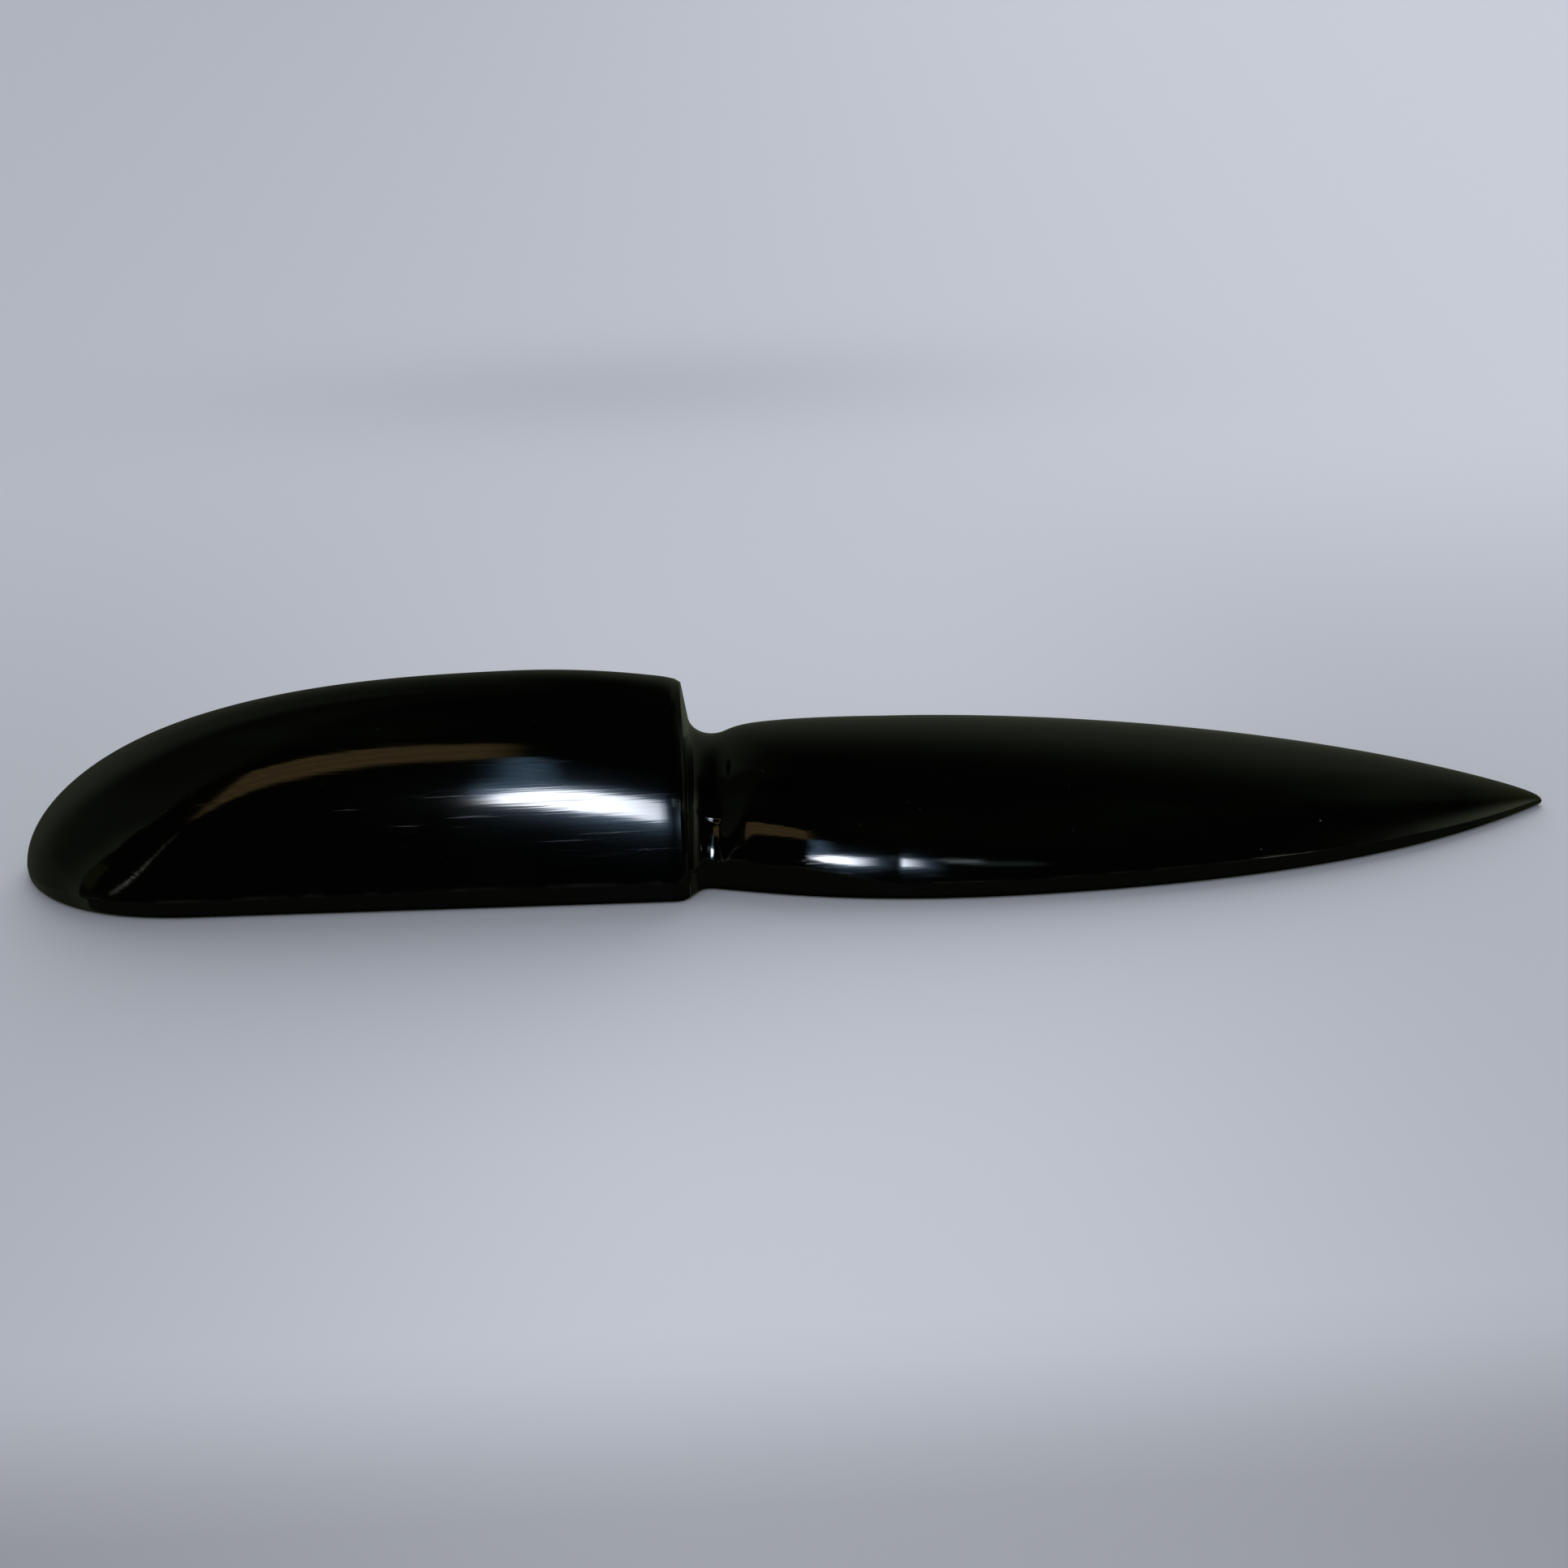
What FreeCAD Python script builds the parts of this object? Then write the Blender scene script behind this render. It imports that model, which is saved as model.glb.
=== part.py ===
"""A hand tool carved from one piece of dark stone, polished all over, in millimetres.

It lies flat on its underside: a domed grip with a rounded nose at -X, a slanted shoulder, a waisted neck and
a leaf-shaped pointed end at +X. The origin is on the underside, at the middle of the length.

The solid is the overlap of two simpler ones, as the stone is ground:
  slab   the plan outline with upright sides, which gives the narrow side land all round the base
  crown  the domed top, a little wider than the outline at the base, so the two meet in a crisp line
"""
import FreeCAD, Part
import math
import os

from FreeCAD import Vector

# Overall size
LENGTH = 150.0
NOSE_X = -LENGTH / 2
TIP_X = LENGTH / 2

# Grip: half widths at its two ends, and the rounded nose
GRIP_HALF_WIDTH_AT_NOSE = 9.62
GRIP_HALF_WIDTH_AT_SHOULDER = 10.8
NOSE_LENGTH = 18.2
NOSE_POWER = 2.46
NOSE_ROUNDNESS = 0.553

# Grip: the crown line, seen from the side
GRIP_HEIGHT = 19.41
GRIP_TOP_X = -26.4
GRIP_HEIGHT_AT_SHOULDER = 17.8
CROWN_ROUNDNESS = 0.511
CROWN_FULLNESS = -0.212
CROWN_POWER = 3.24

# Shoulder: a narrow bevel, a slanted face down to the neck, and the hollow at its foot. A tilt is how much
# further towards the tip an edge stands at the base than at the top.
SHOULDER_X = -11.6
SHOULDER_TILT = 0.76
BEVEL_LENGTH = 0.65
BEVEL_DROP = 0.52
BEVEL_INSET = 0.25
BEVEL_TILT = 0.2
SHOULDER_FOOT_X = -9.83
SHOULDER_FILLET = 2.2
OUTLINE_STEP_START_X = -12.0
OUTLINE_STEP_END_X = -8.5

# Leaf-shaped end in plan: the leaf itself, and the waist that narrows it to the neck
LEAF_HALF_WIDTH = 12.54
LEAF_WIDEST_X = 9.1
LEAF_ROUNDNESS = 0.993
LEAF_FULLNESS = 0.495
WAIST_DEPTH = 6.41
WAIST_X = -6.64
WAIST_LENGTH = 7.09

# Leaf-shaped end seen from the side: its crown line, and the dip over the neck
LEAF_HEIGHT = 11.78
LEAF_TOP_X = -7.1
LEAF_FALL_ROUNDNESS = 0.527
LEAF_FALL_FULLNESS = -0.479
NECK_DIP = 2.94
NECK_DIP_X = -7.84
NECK_DIP_LENGTH = 1.16

# The tip, in plan: an arc between the leaf's sides, which would meet a little further out
TIP_THICKNESS = 0.5
LEAF_SIDES_MEET_X = TIP_X + 0.35
TIP_RADIUS = 0.6
TIP_ARC_HALF_ANGLE = math.radians(55)

# Side land: (x, height) along the base. The domed walls above it lean in.
LAND_HEIGHTS = ((-75.0, 1.1), (-68.0, 1.9), (-12.0, 2.3), (-7.0, 5.0), (0.0, 4.5), (9.0, 2.3), (36.0, 2.9),
                (60.0, 2.9), (75.0, 1.9))
GRIP_LEAN = math.tan(math.radians(16.0))
LEAF_LEAN = math.tan(math.radians(13.0))
BASE_ARRIS_RADIUS = 0.5
NARROWEST_ARCH = 0.45

# Working allowances: the crown reaches a little past the slab, so that the slab trims it
CROWN_OVERHANG = 0.08
CROWN_SINK = 0.5
SLAB_HEADROOM = 1.0
SHOULDER_OVERREACH = 0.4
STATIONS = 16
SLOPE_STEP = 0.01


def between(x, table):
    """The value of a table of (x, value) pairs at x, along straight lines between the pairs."""
    for (x0, v0), (x1, v1) in zip(table, table[1:]):
        if x <= x1:
            return v0 + (v1 - v0) * (x - x0) / (x1 - x0)
    return table[-1][1]


def bulge(x, middle, end, roundness, fullness=0.0, power=2.0):
    """A rounded profile that is 1 at middle and falls to 0 at end. It stays 1 on the far side of middle."""
    along = min(max((x - middle) / (end - middle), 0), 1)
    return (1 - along ** power) ** roundness * (1 + fullness * along ** 2)


def fade(x, middle, length):
    """A smooth step from 1 down to 0, centred on middle."""
    return 1 / (1 + math.exp((x - middle) / length))


def grip_half_width(x):
    along = (x - NOSE_X) / (SHOULDER_X - NOSE_X)
    side = GRIP_HALF_WIDTH_AT_NOSE + (GRIP_HALF_WIDTH_AT_SHOULDER - GRIP_HALF_WIDTH_AT_NOSE) * along
    return side * bulge(x, NOSE_X + NOSE_LENGTH, NOSE_X, NOSE_ROUNDNESS, power=NOSE_POWER)


def grip_height(x):
    rise = bulge(x, GRIP_TOP_X, NOSE_X, CROWN_ROUNDNESS, CROWN_FULLNESS, CROWN_POWER)
    to_shoulder = max((x - GRIP_TOP_X) / (SHOULDER_X - GRIP_TOP_X), 0)
    return GRIP_HEIGHT * rise - (GRIP_HEIGHT - GRIP_HEIGHT_AT_SHOULDER) * to_shoulder ** 2


def leaf_half_width(x):
    leaf = bulge(x, LEAF_WIDEST_X, LEAF_SIDES_MEET_X, LEAF_ROUNDNESS, LEAF_FULLNESS)
    return LEAF_HALF_WIDTH * leaf - WAIST_DEPTH * fade(x, WAIST_X, WAIST_LENGTH)


def leaf_height(x):
    leaf = bulge(x, LEAF_TOP_X, TIP_X, LEAF_FALL_ROUNDNESS, LEAF_FALL_FULLNESS)
    neck_dip = NECK_DIP * fade(x, NECK_DIP_X, NECK_DIP_LENGTH)
    return TIP_THICKNESS + (LEAF_HEIGHT - TIP_THICKNESS) * leaf - neck_dip


def slope(half_width, x):
    """How fast an outline widens along X."""
    return (half_width(x + SLOPE_STEP) - half_width(x - SLOPE_STEP)) / (2 * SLOPE_STEP)


def spaced_to_end(start, end, count):
    """Stations from start to end that crowd together towards end, as the outline rounds off there."""
    return [end - (end - start) * (1 - math.sin(math.pi / 2 * i / count)) for i in range(count + 1)]


def nose_outline():
    """The grip's outline from one side of the shoulder round the nose to the other, as one smooth curve."""
    stations = spaced_to_end(OUTLINE_STEP_START_X, NOSE_X, STATIONS)[:-1]
    near_side = [Vector(x, -grip_half_width(x), 0) for x in stations]
    far_side = [Vector(p.x, -p.y, 0) for p in reversed(near_side)]
    curve = Part.BSplineCurve()
    curve.interpolate(near_side + [Vector(NOSE_X, 0, 0)] + far_side)
    return curve.toShape()


def leaf_side(side, arc_end):
    """One side of the leaf, from the neck to where it runs into the arc round the tip."""
    stations = spaced_to_end(OUTLINE_STEP_END_X, arc_end.x, STATIONS // 2)[:-1]
    points = [Vector(x, side * leaf_half_width(x), 0) for x in stations] + [arc_end]
    start_tangent = Vector(1, side * slope(leaf_half_width, OUTLINE_STEP_END_X), 0)
    end_tangent = Vector(math.sin(TIP_ARC_HALF_ANGLE), -side * math.cos(TIP_ARC_HALF_ANGLE), 0)
    curve = Part.BSplineCurve()
    curve.interpolate(Points=points, InitialTangent=start_tangent, FinalTangent=end_tangent)
    return curve.toShape()


def leaf_outline():
    centre_x = TIP_X - TIP_RADIUS
    reach_x = TIP_RADIUS * math.cos(TIP_ARC_HALF_ANGLE)
    reach_y = TIP_RADIUS * math.sin(TIP_ARC_HALF_ANGLE)
    near_end = Vector(centre_x + reach_x, -reach_y, 0)
    far_end = Vector(centre_x + reach_x, reach_y, 0)
    tip = Part.Arc(near_end, Vector(TIP_X, 0, 0), far_end).toShape()
    return [leaf_side(-1, near_end), tip, leaf_side(1, far_end)]


def outline_step(side):
    """The S-shaped step in the plan outline, from the grip's side in to the neck's."""
    start = Vector(OUTLINE_STEP_START_X, side * grip_half_width(OUTLINE_STEP_START_X), 0)
    end = Vector(OUTLINE_STEP_END_X, side * leaf_half_width(OUTLINE_STEP_END_X), 0)
    reach = (end.x - start.x) / 2
    start_reach = Vector(reach, side * reach * slope(grip_half_width, start.x), 0)
    end_reach = Vector(reach, side * reach * slope(leaf_half_width, end.x), 0)
    curve = Part.BezierCurve()
    curve.setPoles([start, start + start_reach, end - end_reach, end])
    return curve.toShape()


def make_slab():
    edges = [nose_outline(), outline_step(1), outline_step(-1)] + leaf_outline()
    outline = Part.Wire(Part.__sortEdges__(edges))
    slab = Part.Face(outline).extrude(Vector(0, 0, GRIP_HEIGHT + SLAB_HEADROOM))
    base_edges = [e for e in slab.Edges if e.BoundBox.ZMax < BASE_ARRIS_RADIUS]
    return slab.makeFillet(BASE_ARRIS_RADIUS, base_edges)


def crown_section(x, half_width, height, lean, tilt=0.0):
    """A closed D: an arch that starts at the walls' lean and is level on top, sunk below the base."""
    foot_half = half_width + CROWN_SINK * lean
    arch_half = max(half_width - height * lean, NARROWEST_ARCH * half_width)
    foot_x = x + tilt * (1 + CROWN_SINK / height)
    near_foot = Vector(foot_x, -foot_half, -CROWN_SINK)
    far_foot = Vector(foot_x, foot_half, -CROWN_SINK)
    poles = [near_foot, Vector(x, -arch_half, height), Vector(x, arch_half, height), far_foot]
    arch = Part.BSplineCurve()
    arch.buildFromPolesMultsKnots(poles, [3, 1, 3], [0, 0.5, 1], False, 2)
    return Part.Wire([arch.toShape(), Part.LineSegment(far_foot, near_foot).toShape()])


def crown_half_width(half_width, x, lean):
    return half_width(x) + between(x, LAND_HEIGHTS) * lean


def shoulder_edge():
    """The section that the grip ends on."""
    half_width = crown_half_width(grip_half_width, SHOULDER_X, GRIP_LEAN)
    return crown_section(SHOULDER_X, half_width, GRIP_HEIGHT_AT_SHOULDER, GRIP_LEAN, SHOULDER_TILT)


def make_grip_crown():
    sections = [Part.Vertex(Vector(NOSE_X - CROWN_OVERHANG, 0, -CROWN_SINK))]
    for x in sorted(spaced_to_end(SHOULDER_X, NOSE_X, STATIONS)[1:-1]):
        section = crown_section(x, crown_half_width(grip_half_width, x, GRIP_LEAN), grip_height(x), GRIP_LEAN)
        section.translate(Vector(-CROWN_OVERHANG * (SHOULDER_X - x) / (SHOULDER_X - NOSE_X), 0, 0))
        sections.append(section)
    return Part.makeLoft(sections + [shoulder_edge()], True, False)


def make_shoulder():
    """The bevel and the slanted face. The face runs on inside the neck, so that the two cross cleanly."""
    grip_half = crown_half_width(grip_half_width, SHOULDER_X, GRIP_LEAN)
    top_height = GRIP_HEIGHT_AT_SHOULDER - BEVEL_DROP
    top = (SHOULDER_X + BEVEL_LENGTH, grip_half - BEVEL_INSET, top_height, GRIP_LEAN, BEVEL_TILT)
    foot_half = crown_half_width(leaf_half_width, SHOULDER_FOOT_X, LEAF_LEAN)
    foot = (SHOULDER_FOOT_X, foot_half, leaf_height(SHOULDER_FOOT_X), LEAF_LEAN, 0.0)
    inside = [f + (f - t) * SHOULDER_OVERREACH for t, f in zip(top, foot)]
    bevel = Part.makeLoft([shoulder_edge(), crown_section(*top)], True, True)
    face = Part.makeLoft([crown_section(*top), crown_section(*inside)], True, True)
    return bevel.fuse(face)


def make_leaf_crown():
    stations = spaced_to_end(SHOULDER_X + BEVEL_LENGTH, TIP_X, STATIONS)[:-1] + [TIP_X + CROWN_OVERHANG]
    sections = []
    for x in stations:
        half_width = crown_half_width(leaf_half_width, min(x, TIP_X), LEAF_LEAN)
        sections.append(crown_section(x, half_width, leaf_height(x), LEAF_LEAN))
    return Part.makeLoft(sections, True, False)


def make_stone():
    crown = make_grip_crown().fuse([make_shoulder(), make_leaf_crown()]).removeSplitter()
    stone = crown.common(make_slab()).Solids[0]
    foot = [e for e in stone.Edges if is_shoulder_foot(e.BoundBox)]
    return stone.makeFillet(SHOULDER_FILLET, foot).Solids[0]


def is_shoulder_foot(box):
    """Whether an edge's box is that of the arch where the slanted face meets the neck."""
    near_foot = box.XMin > SHOULDER_X + BEVEL_LENGTH and box.XMax < SHOULDER_FOOT_X + 1
    return near_foot and box.YLength > GRIP_HALF_WIDTH_AT_SHOULDER


os.makedirs("parts", exist_ok=True)
stone = make_stone()
print(f"stone_wand: valid {stone.isValid()}, volume {stone.Volume:.0f} mm3, {len(stone.Faces)} faces")
stone.exportStep("parts/stone_wand.step")
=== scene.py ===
import math

import bmesh
import bpy
import numpy as np
from mathutils import Matrix, Vector


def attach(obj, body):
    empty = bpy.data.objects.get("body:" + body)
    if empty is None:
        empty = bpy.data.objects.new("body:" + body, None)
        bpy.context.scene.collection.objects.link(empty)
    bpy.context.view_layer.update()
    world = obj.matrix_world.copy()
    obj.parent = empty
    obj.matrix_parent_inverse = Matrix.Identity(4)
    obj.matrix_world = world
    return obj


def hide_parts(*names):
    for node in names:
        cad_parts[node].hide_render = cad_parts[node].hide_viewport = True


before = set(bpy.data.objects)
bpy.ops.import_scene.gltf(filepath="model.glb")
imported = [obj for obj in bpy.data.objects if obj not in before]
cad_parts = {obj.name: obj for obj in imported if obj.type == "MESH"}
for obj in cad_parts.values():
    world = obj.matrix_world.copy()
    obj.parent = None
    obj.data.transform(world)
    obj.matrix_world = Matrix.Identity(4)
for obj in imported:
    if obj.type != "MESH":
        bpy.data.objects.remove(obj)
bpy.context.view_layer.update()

# ---- the stone's shape, in millimetres ----
# These are the CAD part's formulas, with three refinements: a wider fillet behind the shoulder,
# a bowed shoulder slant, and a grip that turns in a little just before the shoulder's edge.
NOSE_X, TIP_X = -75.0, 75.0
GRIP_HALF_WIDTH_AT_NOSE = 9.62
GRIP_HALF_WIDTH_AT_SHOULDER = 10.8
NOSE_LENGTH = 18.2
NOSE_POWER = 2.46
NOSE_ROUNDNESS = 0.553
GRIP_HEIGHT = 19.41
GRIP_TOP_X = -26.4
GRIP_HEIGHT_AT_SHOULDER = 17.8
CROWN_ROUNDNESS = 0.511
CROWN_FULLNESS = -0.212
CROWN_POWER = 3.24
CROWN_OVERHANG = 0.08
SHOULDER_X = -11.6
SHOULDER_TILT = 0.76
SHOULDER_BOW = 0.38
TILT_START_X = SHOULDER_X - 1.2
TILT_LENGTH = 0.3
ROLL_LENGTH = 1.6
EDGE_ROLL = 0.008
BEVEL_LENGTH = 0.65
BEVEL_TILT = 0.2
BEVEL_DROP = 0.52
BEVEL_INSET = 0.25
SHOULDER_FOOT_X = -9.83
SHOULDER_FILLET = 2.7
STEP_START_X = -12.0
STEP_END_X = -8.5
LEAF_HALF_WIDTH = 12.54
LEAF_WIDEST_X = 9.1
LEAF_ROUNDNESS = 0.993
LEAF_FULLNESS = 0.495
WAIST_DEPTH = 6.41
WAIST_X = -6.64
WAIST_LENGTH = 7.09
LEAF_HEIGHT = 11.78
LEAF_TOP_X = -7.1
LEAF_FALL_ROUNDNESS = 0.527
LEAF_FALL_FULLNESS = -0.479
NECK_DIP = 2.94
NECK_DIP_X = -7.84
NECK_DIP_LENGTH = 1.16
TIP_THICKNESS = 0.5
TIP_RADIUS = 0.6
SIDES_MEET_X = TIP_X + 0.35
LAND_X = (-75.0, -68.0, -12.0, -7.0, 0.0, 9.0, 36.0, 60.0, 75.0)
LAND_HEIGHT = (1.1, 1.9, 2.3, 5.0, 4.5, 2.3, 2.9, 2.9, 1.9)
GRIP_LEAN = math.tan(math.radians(16.0))
LEAF_LEAN = math.tan(math.radians(13.0))
ARRIS_RADIUS = 0.5
CROWN_SINK = 0.5
NARROWEST_ARCH = 0.45

# ---- how finely the mesh follows the shape ----
GRIP_STATIONS = 240
FACE_STATIONS = 20
FILLET_STATIONS = 14
LEAF_STATIONS = 300
ARCH_SAMPLES = 500
CROWN_POINTS = 60
STEP_SAMPLES = 60
ARRIS_POINTS = 8
NOSE_CROWDING = 1.7
TIP_CROWDING = 1.4
BEVEL_STATIONS = (.08, .5, .92)
LAND_POINTS = (.03, .2, .4, .6, .8)
CREASE_GAP = 0.008
SLOPE_STEP = 0.01
SHORT_STEP = 0.02
WELD_DISTANCE = 2e-7
MM = 0.001


def bulge(x, middle, end, roundness, fullness=0.0, power=2.0):
    """1 at the middle, falling to 0 at the end in a round curve."""
    along = np.clip((x - middle) / (end - middle), 0, 1)
    return (1 - along ** power) ** roundness * (1 + fullness * along ** 2)


def fade(x, middle, length):
    """1 well before the middle and 0 well after it."""
    return 1 / (1 + np.exp((x - middle) / length))


def unit(vectors):
    return vectors / np.linalg.norm(vectors, axis=-1, keepdims=True)


def land_height(x):
    """Height of the upright band along the stone's side."""
    return np.interp(x, LAND_X, LAND_HEIGHT)


def grip_half_width(x):
    along = (x - NOSE_X) / (SHOULDER_X - NOSE_X)
    side = GRIP_HALF_WIDTH_AT_NOSE + (GRIP_HALF_WIDTH_AT_SHOULDER - GRIP_HALF_WIDTH_AT_NOSE) * along
    return side * bulge(x, NOSE_X + NOSE_LENGTH, NOSE_X, NOSE_ROUNDNESS, power=NOSE_POWER)


def grip_height(x):
    rise = bulge(x, GRIP_TOP_X, NOSE_X, CROWN_ROUNDNESS, CROWN_FULLNESS, CROWN_POWER)
    to_shoulder = np.clip((x - GRIP_TOP_X) / (SHOULDER_X - GRIP_TOP_X), 0, None)
    return GRIP_HEIGHT * rise - (GRIP_HEIGHT - GRIP_HEIGHT_AT_SHOULDER) * to_shoulder ** 2


def leaf_half_width(x):
    leaf = bulge(x, LEAF_WIDEST_X, SIDES_MEET_X, LEAF_ROUNDNESS, LEAF_FULLNESS)
    return LEAF_HALF_WIDTH * leaf - WAIST_DEPTH * fade(x, WAIST_X, WAIST_LENGTH)


def leaf_height(x):
    leaf = bulge(x, LEAF_TOP_X, TIP_X, LEAF_FALL_ROUNDNESS, LEAF_FALL_FULLNESS)
    dip = NECK_DIP * fade(x, NECK_DIP_X, NECK_DIP_LENGTH)
    return TIP_THICKNESS + (LEAF_HEIGHT - TIP_THICKNESS) * leaf - dip


def slope(curve, x):
    return (curve(x + SLOPE_STEP) - curve(x - SLOPE_STEP)) / (2 * SLOPE_STEP)


def step_half_width(x):
    """The S-shaped step from grip to leaf: one cubic that leaves and arrives along both outlines."""
    t = np.linspace(0, 1, STEP_SAMPLES)
    reach = (STEP_END_X - STEP_START_X) / 2
    start, end = grip_half_width(STEP_START_X), leaf_half_width(STEP_END_X)
    leave = start + slope(grip_half_width, STEP_START_X) * reach
    arrive = end - slope(leaf_half_width, STEP_END_X) * reach
    weights = (1 - t) ** 3, 3 * (1 - t) ** 2 * t, 3 * (1 - t) * t ** 2, t ** 3
    along = (STEP_START_X, STEP_START_X + reach, STEP_START_X + reach, STEP_END_X)
    across = (start, leave, arrive, end)
    step_x = sum(weight * value for weight, value in zip(weights, along))
    step_y = sum(weight * value for weight, value in zip(weights, across))
    return np.interp(x, step_x, step_y)


def outline(x):
    """Half width of the plan outline: grip, S-shaped step, leaf and the round of the tip."""
    into_tip = np.clip(x - (TIP_X - TIP_RADIUS), 0, TIP_RADIUS)
    arc = np.sqrt(np.clip(TIP_RADIUS ** 2 - into_tip ** 2, 0, None))
    leaf = leaf_half_width(x)
    leaf = np.where(x > TIP_X - TIP_RADIUS, np.minimum(leaf, arc), leaf)
    return np.where(x < STEP_START_X, grip_half_width(x), np.where(x < STEP_END_X, step_half_width(x), leaf))


def arch(x, half, height, s, lean, tilt=0.0):
    """Point s of a section's arch, from the crest (0) down to the foot (1), as x, half width and z."""
    foot = half + CROWN_SINK * lean
    wall = np.maximum(half - height * lean, NARROWEST_ARCH * half)
    y = s ** 2 * foot + 2 * s * (1 - s) * wall
    z = height - s ** 2 * (height + CROWN_SINK)
    bow = tilt * (1 - np.exp(-(s / SHOULDER_BOW) ** 2))
    return np.stack(np.broadcast_arrays(x + bow, y, z), -1)


def leaf_arches(x, s):
    half = leaf_half_width(np.minimum(x, TIP_X)) + land_height(x) * LEAF_LEAN
    return arch(x, half, leaf_height(x), s, LEAF_LEAN)


def grip_arches(s):
    """Arches along the grip, stretched a little so that its crown overhangs the nose."""
    grip_length = SHOULDER_X - NOSE_X
    x = NOSE_X + grip_length * np.linspace(0, 1, GRIP_STATIONS) ** NOSE_CROWDING
    x = x[:, None]
    unstretched = SHOULDER_X + (x - SHOULDER_X) * grip_length / (grip_length + CROWN_OVERHANG)
    half = grip_half_width(unstretched) + land_height(unstretched) * GRIP_LEAN
    full_tilt = fade(SHOULDER_X, TILT_START_X, -TILT_LENGTH)
    tilt = SHOULDER_TILT * fade(x, TILT_START_X, -TILT_LENGTH) / full_tilt
    grip = arch(x, half, grip_height(unstretched), s, GRIP_LEAN, tilt)
    near_edge = np.clip((x - SHOULDER_X) / ROLL_LENGTH + 1, 0, 1)[..., None]
    grip[..., 1:] *= 1 - EDGE_ROLL * near_edge ** 2
    return grip


def arc_between(start, middle, end, weight, t):
    """A circular arc that leaves start and reaches end along the lines through middle."""
    weights = (1 - t) ** 2, 2 * t * (1 - t) * weight, t ** 2
    return (weights[0] * start + weights[1] * middle + weights[2] * end) / sum(weights)


def half_turn(into, out):
    """Half the angle between two directions."""
    return np.arccos(np.clip((into * out).sum(-1, keepdims=True), -1, 1)) / 2


def crown_arches():
    """Arches from the nose to the tip: grip, bevel, slanted face, fillet and leaf."""
    s = np.linspace(0, 1, ARCH_SAMPLES)[None, :]
    grip = grip_arches(s)
    half = grip_half_width(SHOULDER_X) + land_height(SHOULDER_X) * GRIP_LEAN - BEVEL_INSET
    height = GRIP_HEIGHT_AT_SHOULDER - BEVEL_DROP
    face_top = arch(SHOULDER_X + BEVEL_LENGTH, half, height, s, GRIP_LEAN, BEVEL_TILT)
    bevel = grip[-1:] + (face_top - grip[-1:]) * np.array(BEVEL_STATIONS)[:, None, None]

    # the corner between the slanted face and the neck, rounded by an arc that touches both
    foot = leaf_arches(np.full((1, 1), SHOULDER_FOOT_X), s)
    into = unit(foot - face_top)
    out = unit(leaf_arches(np.full((1, 1), SHOULDER_FOOT_X + 1), s) - foot)
    reach = SHOULDER_FILLET * np.tan(half_turn(into, out))
    neck_x = (foot + out * reach)[..., 0]
    end = leaf_arches(neck_x, s)
    out = unit(leaf_arches(neck_x + SHORT_STEP, s) - end)
    start = foot - into * reach
    t = np.linspace(0, 1, FILLET_STATIONS)[1:-1, None, None]
    fillet = arc_between(start, end - out * reach, end, np.cos(half_turn(into, out)), t)
    face = face_top + (start - face_top) * np.linspace(0, 1, FACE_STATIONS)[:, None, None]

    along = 1 - (1 - np.linspace(0, 1, LEAF_STATIONS)[:, None]) ** TIP_CROWDING
    leaf = leaf_arches(neck_x + (TIP_X - neck_x) * along, s)
    return np.concatenate([grip, bevel, face, fillet, leaf])


def above_crease(arches):
    """The part of each arch above the side band, as evenly spaced points from the crest to the crease."""
    share = np.append(np.linspace(0, 1 - 1 / CROWN_POINTS, CROWN_POINTS), [1 - CREASE_GAP, 1])
    over = arches[..., 1] - outline(arches[..., 0])
    first_over = np.maximum(np.argmax(over >= 0, axis=1), 1)
    station = np.arange(len(arches))
    before, after = over[station, first_over - 1], over[station, first_over]
    crossing = np.where(over[station, 0] >= 0, 0, first_over - 1 + before / (before - after))
    place = crossing[:, None] * share
    low = np.minimum(place.astype(int), arches.shape[1] - 2)
    part = (place - low)[..., None]
    points = arches[station[:, None], low] * (1 - part) + arches[station[:, None], low + 1] * part
    points[:, -1, 1] = outline(points[:, -1, 0])
    return points


def side_and_underside(crease):
    """The upright side band, the rounded arris under it and the flat underside, for one side."""
    rise = outline(crease[:, 0] + SLOPE_STEP) - outline(crease[:, 0] - SLOPE_STEP)
    along = unit(np.stack([np.full(len(crease), 2 * SLOPE_STEP), rise], -1))
    along[0], along[-1] = (0, 1), (0, -1)
    inward = np.stack([along[:, 1], -along[:, 0]], -1)
    rows = []
    for down in LAND_POINTS:
        row = crease.copy()
        row[:, 2] += (ARRIS_RADIUS - crease[:, 2]) * down
        rows.append(row)
    radius = np.minimum(ARRIS_RADIUS, crease[:, 2])
    for turn in np.linspace(0, math.pi / 2, ARRIS_POINTS):
        row = crease.copy()
        row[:, :2] += inward * (radius * (1 - math.cos(turn)))[:, None]
        row[:, 1] = np.maximum(row[:, 1], 0)
        row[:, 2] = radius * (1 - math.sin(turn))
        rows.append(row)
    under = rows[-1] * (1, .5, 1)
    middle = rows[-1] * (1, 0, 1)
    return np.stack(rows + [under, middle], 1)


# ---- objects and meshes ----
def link(name, data):
    made = bpy.data.objects.new(name, data)
    bpy.context.scene.collection.objects.link(made)
    return made


def grid_mesh(name, columns, rows, place):
    """A mesh of quads over a grid. place turns the grid's two coordinate arrays into points."""
    across, up = np.meshgrid(columns, rows)
    index = np.arange(across.size).reshape(across.shape)
    a, b = index[:-1], index[1:]
    quads = np.stack([a[:, :-1], a[:, 1:], b[:, 1:], b[:, :-1]], -1).reshape(-1, 4)
    mesh = bpy.data.meshes.new(name)
    mesh.from_pydata(place(across.ravel(), up.ravel()).tolist(), [], quads.tolist())
    return mesh, across.ravel(), up.ravel()


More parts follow.
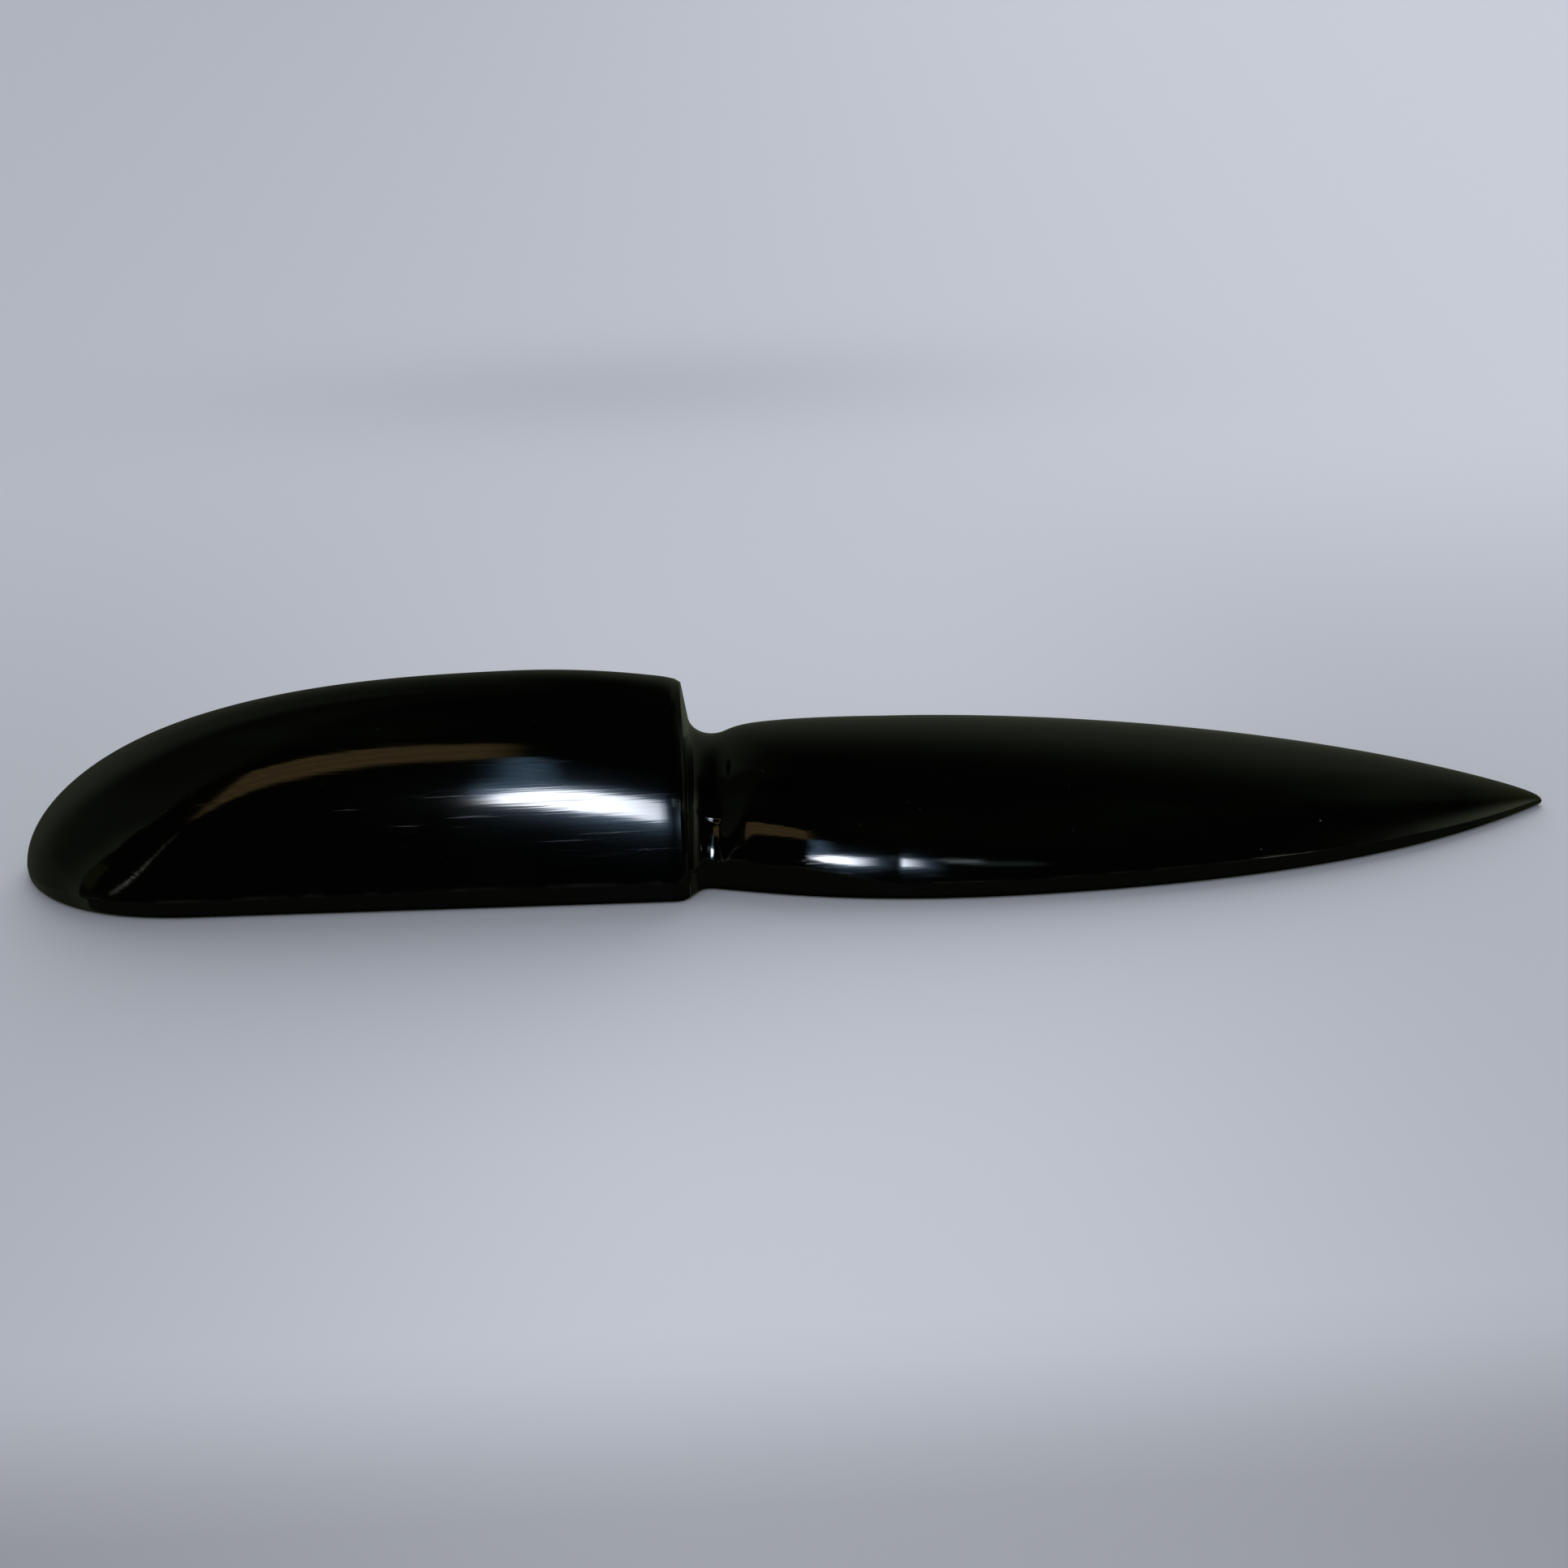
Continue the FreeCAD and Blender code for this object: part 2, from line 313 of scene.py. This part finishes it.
def paint(mesh, name, colours):
    """Store a colour for every vertex of a mesh."""
    layer = mesh.color_attributes.new(name, "FLOAT_COLOR", "POINT")
    layer.data.foreach_set("color", np.concatenate([colours, np.ones((len(colours), 1))], 1).ravel())


def whole_rings(half_rings):
    """Close half rings into whole ones, point by point, with the other side after the first."""
    return np.concatenate([half_rings, half_rings[:, -2:0:-1]], axis=1)


def stone_mesh():
    """The whole stone as one dense, smooth mesh, with a painted highlight marked along its crease and the
    shoulder's edge.
    """
    crown = above_crease(crown_arches())
    half_rings = np.concatenate([crown, side_and_underside(crown[:, -1])], axis=1)
    stations, points = half_rings.shape[:2]
    rings = whole_rings(half_rings) * MM
    rings[:, points:, 1] *= -1

    just_above_crease = crown.shape[1] - 2
    # mask for the painted highlight: the row just above the crease, and the ring at the shoulder's edge
    painted_edge_highlight = np.zeros((stations, points, 1))
    painted_edge_highlight[:, just_above_crease] = 1
    painted_edge_highlight[GRIP_STATIONS - 1, :just_above_crease + 1] = 1

    index = np.arange(stations * rings.shape[1]).reshape(stations, -1)
    a, b = index[:-1], index[1:]
    quads = np.stack([a, np.roll(a, -1, 1), np.roll(b, -1, 1), b], -1).reshape(-1, 4)
    mesh = bpy.data.meshes.new("stone")
    mesh.from_pydata(rings.reshape(-1, 3).tolist(), [], quads.tolist())
    paint(mesh, "painted_edge_highlight", np.repeat(whole_rings(painted_edge_highlight).reshape(-1, 1), 3, 1))
    weld = bmesh.new()
    weld.from_mesh(mesh)
    bmesh.ops.remove_doubles(weld, verts=weld.verts, dist=WELD_DISTANCE)
    bmesh.ops.recalc_face_normals(weld, faces=weld.faces)
    weld.to_mesh(mesh)
    weld.free()
    mesh.shade_smooth()
    return mesh


# ---- material nodes ----
def new_material(name):
    material = bpy.data.materials.new(name)
    material.use_nodes = True
    return material, material.node_tree


def node(tree, kind, **inputs):
    made = tree.nodes.new(kind)
    for name, value in inputs.items():
        made.inputs[name.replace("_", " ")].default_value = value
    return made


def wired(tree, source, kind, socket, **inputs):
    """A new node with its inputs set and one of them fed from source."""
    made = node(tree, kind, **inputs)
    tree.links.new(source, made.inputs[socket])
    return made


def attribute(tree, name):
    """The values painted on the mesh under this name."""
    made = tree.nodes.new("ShaderNodeAttribute")
    made.attribute_name = name
    return made.outputs


def calculate(tree, operation, *values):
    """A math node. Each value is a socket or a plain number."""
    made = tree.nodes.new("ShaderNodeMath")
    made.operation = operation
    for socket, value in zip(made.inputs, values):
        if isinstance(value, float):
            socket.default_value = value
        else:
            tree.links.new(value, socket)
    return made.outputs["Value"]


def blend(tree, amount, under, over):
    """Mix two colours. Each is a socket or a plain colour."""
    mix = tree.nodes.new("ShaderNodeMix")
    mix.data_type = "RGBA"
    tree.links.new(amount, mix.inputs["Factor"])
    for socket, colour in ((mix.inputs[6], under), (mix.inputs[7], over)):
        if isinstance(colour, tuple):
            socket.default_value = (*colour, 1)
        else:
            tree.links.new(colour, socket)
    return mix.outputs[2]


def ramp(tree, value, low, high):
    """0 below low, 1 above high, straight between."""
    return wired(tree, value, "ShaderNodeMapRange", "Value", From_Min=low, From_Max=high).outputs["Result"]


def spread(tree, value, low, high):
    """Stretch 0..1 to low..high."""
    return wired(tree, value, "ShaderNodeMapRange", "Value", To_Min=low, To_Max=high).outputs["Result"]


def noise(tree, place, **inputs):
    return wired(tree, place, "ShaderNodeTexNoise", "Vector", **inputs).outputs["Fac"]


def stretched(tree, place, turn, scale):
    """The same place, turned and scaled differently along each axis."""
    return wired(tree, place, "ShaderNodeMapping", "Vector", Rotation=turn, Scale=scale).outputs["Vector"]


def specks(tree, place, scale, radius, rarity):
    """1 in a small round spot in the middle of some of a Voronoi texture's cells."""
    cells = wired(tree, place, "ShaderNodeTexVoronoi", "Vector", Scale=scale)
    near = ramp(tree, cells.outputs["Distance"], radius, radius * .6)
    draw = wired(tree, cells.outputs["Color"], "ShaderNodeSeparateColor", "Color").outputs["Red"]
    chosen = calculate(tree, "GREATER_THAN", draw, rarity)
    return calculate(tree, "MULTIPLY", near, chosen)


# ---- the stone's material: black jade with a mirror polish ----
DARK_BODY, GREEN_CLOUD, FAINT_BAND = (.0003, .0004, .0003), (.0009, .0013, .0007), (.0024, .0034, .0018)
MINERAL_GRAIN, DUST = (.016, .019, .013), (.13, .14, .13)
# the paler edge colour is a painted highlight along the crease and the shoulder's edge
THIN_TIP, PAINTED_EDGE_HIGHLIGHT = (.012, .013, .004), (.011, .012, .009)
TIP_TINT_FROM, TIP_TINT_TO = 0.066, 0.076
STONE_IOR = 1.6


def body_colour(tree, place):
    clouds = noise(tree, place, Scale=70.0, Detail=5.0, Roughness=0.6)
    body = blend(tree, ramp(tree, clouds, 0.35, 0.75), DARK_BODY, GREEN_CLOUD)
    along = stretched(tree, place, (.2, .1, .5), (25, 160, 130))
    bands = noise(tree, along, Scale=1.0, Detail=4.0)
    body = blend(tree, ramp(tree, bands, 0.60, 0.74), body, FAINT_BAND)
    body = blend(tree, specks(tree, place, 900.0, 0.10, 0.90), body, MINERAL_GRAIN)
    body = blend(tree, specks(tree, place, 480.0, 0.05, 0.955), body, DUST)
    x = wired(tree, place, "ShaderNodeSeparateXYZ", "Vector").outputs["X"]
    body = blend(tree, ramp(tree, x, TIP_TINT_FROM, TIP_TINT_TO), body, THIN_TIP)
    # painted highlight, broken into patches, along the crease and the shoulder's edge
    highlight_patches = ramp(tree, noise(tree, place, Scale=350.0, Detail=2.0), 0.42, 0.60)
    edge_highlight_amount = calculate(tree, "MULTIPLY", attribute(tree, "painted_edge_highlight")["Fac"], highlight_patches)
    return blend(tree, edge_highlight_amount, body, PAINTED_EDGE_HIGHLIGHT)


def stone_material():
    material, tree = new_material("polished_black_jade")
    shader = tree.nodes["Principled BSDF"]
    shader.inputs["IOR"].default_value = STONE_IOR
    place = tree.nodes.new("ShaderNodeTexCoord").outputs["Object"]
    tree.links.new(body_colour(tree, place), shader.inputs["Base Color"])

    # the polish: haze in patches, and hair-fine scratches along the length
    haze = noise(tree, place, Scale=120.0, Detail=4.0)
    along = stretched(tree, place, (0, 0, .03), (90, 4200, 4200))
    scratches = noise(tree, along, Scale=1.0, Detail=2.0)
    scratched = spread(tree, ramp(tree, scratches, 0.60, 0.75), 0.0, 0.10)
    roughness = calculate(tree, "ADD", spread(tree, haze, 0.03, 0.075), scratched)
    tree.links.new(roughness, shader.inputs["Roughness"])
    relief = wired(tree, scratches, "ShaderNodeBump", "Height", Strength=0.035, Distance=0.00005)
    tree.links.new(relief.outputs["Normal"], shader.inputs["Normal"])
    return material


# ---- what the polish mirrors: a dim room painted on a dome that only reflections see ----
# Directions are in degrees. Azimuth 0 is -Y and grows towards +X; height 90 is straight up.
DOME_RADIUS = 8.0
DARK_ROOM = (.002, .0035, .0015)
PALE_WALL = (1.0, 1.13, .80)
WALL_LEVEL = .8
OLIVE_FRINGE = (.055, .060, .018)
SHEET_IN_FRONT = (.026, .029, .023)
RIGHT_GLOW = (.36, .40, .28)
FAR_LAMP = (.75, .75, .6)
WOOD = (.46, .31, .135)
WINDOW = (24, 25, 27)
SKY_GLOW = (.62, 1.0, 1.5)
BLUE_STRIP = (.55, .95, 1.45)
WINDOW_STREAK, FAINT_STREAK = (.9, 1.1, 1.2), (.13, .16, .17)
BRIGHT_LINE = (.95, 1.0, .82)
WINDOW_CORNER_HEIGHT = 13.5


def smooth(value, low, high):
    t = np.clip((value - low) / (high - low), 0, 1)
    return t * t * (3 - 2 * t)


def patch(azimuth, height, left, right, low, high, soft=0.7):
    """1 inside a rectangle of the dome, falling to 0 over a soft border."""
    across = smooth(azimuth, left - soft, left + soft) * (1 - smooth(azimuth, right - soft, right + soft))
    upward = smooth(height, low - soft, low + soft) * (1 - smooth(height, high - soft, high + soft))
    return across * upward


def tint(amount, colour):
    return amount[:, None] * np.array(colour)[None, :]


def wall_behind(azimuth, height):
    """A pale wall that fades out overhead, and lies lower on the right than on the left."""
    turn = azimuth % 360
    right = np.interp(height, (-30, 10, 25, 33, 40, 50, 60, 72),
                      (.085, .10, .095, .07, .05, .026, .010, .001))
    right *= smooth(turn, 82, 112)
    left = np.interp(height, (-30, -15, -5, 5, 20, 45, 60, 70, 82, 90),
                     (.04, .045, .07, .095, .11, .085, .065, .045, .02, .01))
    left *= np.interp(turn, (180, 210, 235), (.75, .85, 1)) * smooth(-turn, -276, -242)
    share = smooth(turn, 166, 200)
    return tint(WALL_LEVEL * (right * (1 - share) + left * share), PALE_WALL)


def wall_on_the_left(azimuth, height):
    """Pale up to a slanting edge, brightest along it, with an olive fringe beyond."""
    edge = np.interp(height, (-5, 3, 8.5, 14, 18.5, 22.5, 27, 38, 60),
                     (-63, -57, -51, -43.5, -40, -33, -30, -29, -34))
    blur = np.interp(height, (20, 34, 50), (.7, 2.5, 9))
    inside = smooth(edge - azimuth, -blur, blur) * smooth(azimuth % 360, 200, 265)
    level = np.interp(height, (-40, -10, 0, 30, 40, 60, 90), (.038, .045, .042, .042, .028, .022, .01))
    glow = .062 * np.exp(-((edge - azimuth) / 8) ** 2) * (1 - smooth(height, 14, 26))
    fringe = patch(azimuth - edge, height, .5, 7, -1, 8, 1.2) * (azimuth < 0)
    return tint(inside * (level + glow), PALE_WALL) + tint(fringe, OLIVE_FRINGE)


def sheet_in_front(azimuth, height):
    """The sheet that the stone lies on, as its upright side band sees it, with painted shade below 37° down,
    where the mirrored sheet lies in the stone's contact shadow.
    """
    front = 1 - smooth(np.abs(azimuth), 70, 110)
    level = np.interp(height, (-60, -42, -37, -4, 0), (0, .05, 1, 1, 0))
    return tint(level * front, SHEET_IN_FRONT)


def lights_on_the_right(azimuth, height):
    """A wide pale glow and a small far lamp."""
    glow = np.exp(-((azimuth - 72) / 17) ** 2 - ((height - 12) / 13) ** 2)
    return tint(glow, RIGHT_GLOW) + tint(patch(azimuth, height, 32.5, 38.5, 10.9, 12.6, .5), FAR_LAMP)


def wooden_pelmet(azimuth, height):
    """The board above the window, with its grain."""
    lower = np.interp(azimuth, (-22.8, -21.8, -20.5, -14, -8.5), (19.5, 22.5, 23.7, 25.2, 25.5))
    upper = np.interp(azimuth, (-25, -20, -15, -8), (30.8, 32.0, 31.9, 31.5))
    left = np.interp(height, (19, 31), (-22.9, -25.2))
    wood = smooth(height - lower, -1.1, .5) * (1 - smooth(height - upper, -.4, .4))
    wood *= smooth(azimuth - left, -.4, .4) * (1 - smooth(azimuth, -9.5, -6.5))
    grain = 1 + .22 * np.sin(5.2 * height + .5 * azimuth) + .14 * np.sin(2.3 * height - .3 * azimuth)
    return tint(wood * grain, WOOD)


def window(azimuth, height):
    """A wedge of clipped white with the sky's glow round it, streaks beside it and a blue strip over it."""
    top = np.interp(azimuth, (-9.2, -8, -7, -5, -3, 4, 7), (13.2, 14.7, 15.4, 15.9, 16, 16, 16.6))
    base = np.interp(azimuth, (-9.2, -7.4, -5.9, -4.5, -1.7, 3, 7),
                     (13.2, 12.5, 11.9, 11.5, 11.2, 12.5, 15.4))
    pane = smooth(height - base, -.5, .5) * (1 - smooth(height - top, -.5, .6))
    pane *= smooth(azimuth, -9.0, -7.6) * (1 - smooth(azimuth, -5, 1.5))

    beside = smooth(azimuth, -9.4, -8) * (1 - smooth(azimuth, -4, 4))
    above = np.interp(height, (15, 16.5, 17.4, 18.2, 19, 20, 23, 25), (2.0, 1.5, .6, .22, .1, .06, .03, 0))
    beneath = np.interp(height, (2, 5.3, 6.3, 7.7, 8.7, 9.6, 10.5, 11.5),
                        (.004, .03, .07, .13, .34, .6, 1.3, 2.2))
    beneath *= np.interp(azimuth, (-8, -6.4, -3.9), (.12, .3, 1))
    glow = beside * np.where(height > WINDOW_CORNER_HEIGHT, above, beneath)

    ragged = .8 + .5 * np.sin(4.4 * height + 1.3 * azimuth) * np.sin(1.1 * azimuth - .9 * height)
    strip = patch(azimuth, height, -8.1, -5, 17.5, 25.5, .5) * ragged
    strip *= np.interp(azimuth, (-8, -6.8, -5), (.8, 1.1, .35))
    light = tint(pane, WINDOW) + tint(glow, SKY_GLOW) + tint(strip, BLUE_STRIP)
    light += tint(patch(azimuth, height, 3.5, 7.5, 15, 17.2, .8), WINDOW_STREAK)
    light += tint(patch(azimuth, height, 6, 13, 13.5, 16.2, 1.2), FAINT_STREAK)
    return light


def bright_line(azimuth, height):
    """A thin bright slanting line to the left of the pelmet."""
    line = np.interp(azimuth, (-44, -40, -36, -32, -28.5, -25.8, -23), (0, 2, 4.2, 7, 10.3, 13.3, 16.8))
    strength = np.interp(azimuth, (-44, -40, -35, -31, -28, -23), (.2, .6, 1.0, .8, .35, .2))
    strength *= smooth(azimuth, -44.5, -43.5) * (1 - smooth(azimuth, -24, -23))
    return tint(np.exp(-((height - line) / .42) ** 2) * strength, BRIGHT_LINE)


def room_light(azimuth, height):
    """Colour of the room in each direction."""
    light = tint(np.ones_like(azimuth), DARK_ROOM)
    for part in (wall_behind, wall_on_the_left, sheet_in_front, lights_on_the_right, wooden_pelmet, window,
                 bright_line):
        light += part(azimuth, height)
    return np.maximum(light, 0)


def on_dome(azimuth, height):
    azimuth, height = np.radians(azimuth), np.radians(height)
    towards = np.cos(height) * np.sin(azimuth), -np.cos(height) * np.cos(azimuth), np.sin(height)
    return np.stack(towards, -1) * DOME_RADIUS


def room_dome():
    """The dome, with its grid finest round the window. Nothing but reflections sees it."""
    azimuth = np.concatenate([np.arange(-180, -66, 2), np.arange(-66, -46, .5), np.arange(-46, 10, .2),
                              np.arange(10, 42, .5), np.arange(42, 180, 2), [180]])
    height = np.concatenate([np.arange(-90, -6, 3), np.arange(-6, 36, .2), np.arange(36, 60, 1),
                             np.arange(60, 90.1, 3)])
    mesh, azimuth, height = grid_mesh("room", azimuth, height, on_dome)
    paint(mesh, "room", room_light(azimuth, height))
    material, tree = new_material("room_light")
    material.cycles.emission_sampling = "NONE"
    tree.nodes.clear()
    glow = wired(tree, attribute(tree, "room")["Color"], "ShaderNodeEmission", "Color")
    wired(tree, glow.outputs["Emission"], "ShaderNodeOutputMaterial", "Surface")
    mesh.materials.append(material)
    dome = link("room_dome", mesh)
    dome.visible_camera = False
    dome.visible_diffuse = False
    dome.visible_shadow = False
    dome.visible_transmission = False
    dome.visible_volume_scatter = False
    return dome


# ---- floor, in metres ----
FLOOR_COLOUR = (0.70, 0.715, 0.765)
FLOOR_REACH = (.8, 1.5, 3)
FLOOR_FINE_HALF, FLOOR_FINE_STEP = .4, .004
FLOOR_ROUGHNESS = 0.9
FLOOR_SHEEN = 0.1


def painted_floor_light(x, y):
    """Painted light and shade on the sheet: painted light to the right and down the middle at the front,
    painted shade towards the sides in front, and painted shadows where the sheet rises and falls.
    """
    far = smooth(y, 0, .1)
    painted_light_to_right = .16 * np.tanh(x / .12) * far
    painted_shade_at_sides = (.21 * smooth(-x, .01, .09) + .16 * smooth(x, .01, .07)) * (1 - far)
    # painted light down the middle, in front of the stone
    middle = .06 * np.exp(-((x + .012) / .03) ** 2) * smooth(-y, .01, .05)
    painted_fold_shadow = .13 * np.exp(-((y - .124) / .018) ** 2 - ((x + .015) / .055) ** 2)
    painted_front_shade = .36 * smooth(-y, .064, .082) * (1 - smooth(-y, .12, .50))
    return (1 + painted_light_to_right - painted_shade_at_sides + middle - painted_fold_shadow) * (1 - painted_front_shade)


def flat(x, y):
    return np.stack([x, y, 0 * x], -1)


def make_floor():
    """The pale floor. The dome stands in for it in reflections."""
    fine = np.arange(-FLOOR_FINE_HALF, FLOOR_FINE_HALF + .05, FLOOR_FINE_STEP)
    reach = np.array(FLOOR_REACH)
    lines = np.concatenate([-reach[::-1], fine, reach])
    mesh, x, y = grid_mesh("floor", lines, lines, flat)
    # the sheet's colour times its painted light and shade
    paint(mesh, "painted_light_and_shade", tint(painted_floor_light(x, y), FLOOR_COLOUR))
    material, tree = new_material("pale_floor")
    shader = tree.nodes["Principled BSDF"]
    tree.links.new(attribute(tree, "painted_light_and_shade")["Color"], shader.inputs["Base Color"])
    shader.inputs["Roughness"].default_value = FLOOR_ROUGHNESS
    shader.inputs["Specular IOR Level"].default_value = FLOOR_SHEEN
    mesh.materials.append(material)
    floor = link("floor", mesh)
    floor.visible_glossy = False
    return floor


# ---- studio light ----
SKY_COLOUR = (0.50, 0.53, 0.58, 1)
SKY_STRENGTH = 0.75


def soft_sun(name, towards, strength, spread_degrees):
    """A distant studio softbox: even light from one side of the sky, so its shadows are soft."""
    light = bpy.data.lights.new(name, "SUN")
    light.energy = strength
    light.angle = math.radians(spread_degrees)
    lamp = link(name, light)
    lamp.rotation_euler = Vector(towards).to_track_quat("Z", "Y").to_euler()
    lamp.visible_glossy = False
    lamp.visible_camera = False


def make_sky():
    world = bpy.data.worlds.new("studio")
    world.use_nodes = True
    background = world.node_tree.nodes["Background"]
    background.inputs["Color"].default_value = SKY_COLOUR
    background.inputs["Strength"].default_value = SKY_STRENGTH
    bpy.context.scene.world = world


# ---- camera ----
CAMERA_EYE = Vector((-9.33, -169.06, 111.87)) * MM
CAMERA_DOWN = math.radians(32.0)
CAMERA_YAW = math.radians(-2.75)
CAMERA_ROLL = math.radians(-0.91)
LENS_MM = 46.94
SENSOR_MM = 36.0
NEAREST_SEEN = 0.005


def make_camera():
    camera = link("camera", bpy.data.cameras.new("camera"))
    camera.data.sensor_width = SENSOR_MM
    camera.data.lens = LENS_MM
    camera.data.clip_start = NEAREST_SEEN
    aim = Matrix.Rotation(CAMERA_YAW, 4, "Z") @ Matrix.Rotation(math.pi / 2 - CAMERA_DOWN, 4, "X")
    camera.matrix_world = Matrix.Translation(CAMERA_EYE) @ aim @ Matrix.Rotation(CAMERA_ROLL, 4, "Z")
    bpy.context.scene.camera = camera


stone = link("stone_wand_polished", stone_mesh())
stone.data.materials.append(stone_material())
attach(stone, "root")
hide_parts("stone_wand")

make_floor()
room_dome()
soft_sun("softbox_behind", (0.10, 0.85, 0.62), 1.64, 62)
soft_sun("front_fill", (-0.3, -0.6, 0.9), 0.22, 80)
make_sky()
bpy.context.scene.view_settings.view_transform = "Standard"
make_camera()
